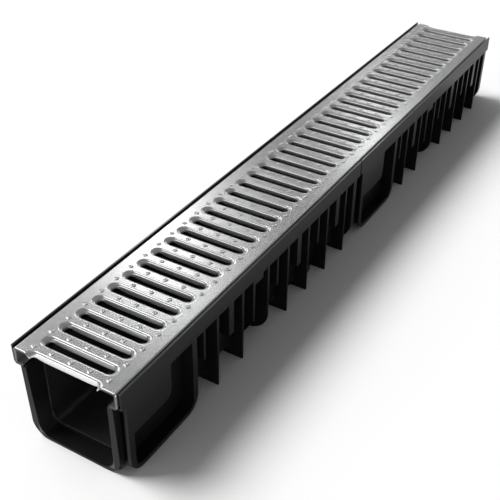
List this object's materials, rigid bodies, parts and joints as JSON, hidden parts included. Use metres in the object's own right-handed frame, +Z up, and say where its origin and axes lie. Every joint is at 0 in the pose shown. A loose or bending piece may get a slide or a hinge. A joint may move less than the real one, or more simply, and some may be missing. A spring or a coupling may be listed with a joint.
{
  "type": "channel drain",
  "caption": "Straight channel drain: black moulded plastic channels with ribbed sides and side frames, joined end to end under one slotted pressed steel grating.",
  "frame": {"origin": "under the middle of the whole length, on the surface that the drain stands on", "axes": "+X along the drain from the socket end to the spigot end, +Y across it, +Z up"},
  "size_m": [1.017, 0.13, 0.115],
  "materials": {
    "channel_plastic": "satin black",
    "grating_steel": "galvanised, satin"
  },
  "bodies": {
    "root": {"channel_front": "channel_plastic", "channel_rear": "channel_plastic", "grating": "grating_steel"}
  },
  "joints": []
}
